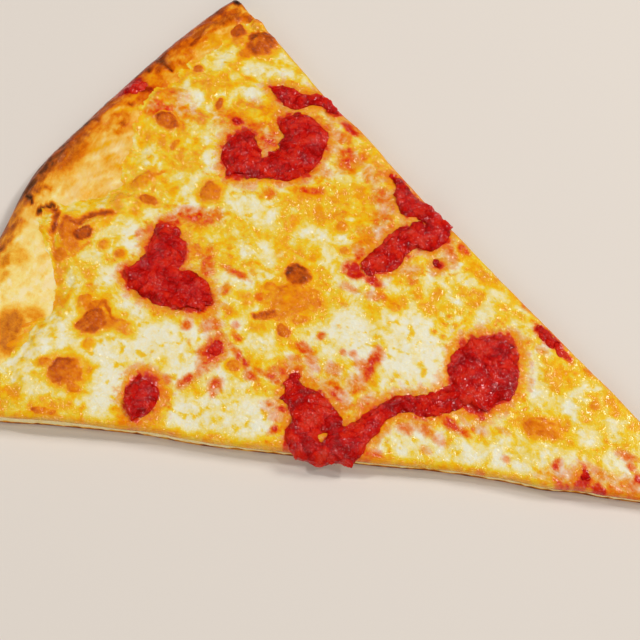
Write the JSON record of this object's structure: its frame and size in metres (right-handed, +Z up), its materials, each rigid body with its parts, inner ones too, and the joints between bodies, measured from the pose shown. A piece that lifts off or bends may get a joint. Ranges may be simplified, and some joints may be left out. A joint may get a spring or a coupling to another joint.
{
  "type": "pizza slice",
  "caption": "Thin triangular slice of cheese pizza with a raised baked rim, a flat base, a browned melted cheese layer and raised dollops of tomato sauce.",
  "frame": {"origin": "on the flat underside, near the middle of the slice, on the line that halves it", "axes": "+X towards the point of the slice along the line that halves it, +Y across the slice, +Z up out of the topping"},
  "size_m": [0.2206, 0.1714, 0.01],
  "materials": {
    "baked_dough": "baked bread crust: golden rim with dark brown edge, pale crumb at the cuts",
    "melted_cheese": "melted cheese: white and yellow mottling, orange oil and brown blisters, wet sheen",
    "tomato_sauce": "thick crushed tomato sauce, lumpy and wet"
  },
  "bodies": {
    "root": {"crust": "baked_dough", "cheese": "melted_cheese", "sauce_upper": "tomato_sauce", "sauce_upper_edge": "tomato_sauce", "sauce_right_edge": "tomato_sauce", "sauce_left": "tomato_sauce", "sauce_small": "tomato_sauce", "sauce_lower": "tomato_sauce"}
  },
  "joints": []
}
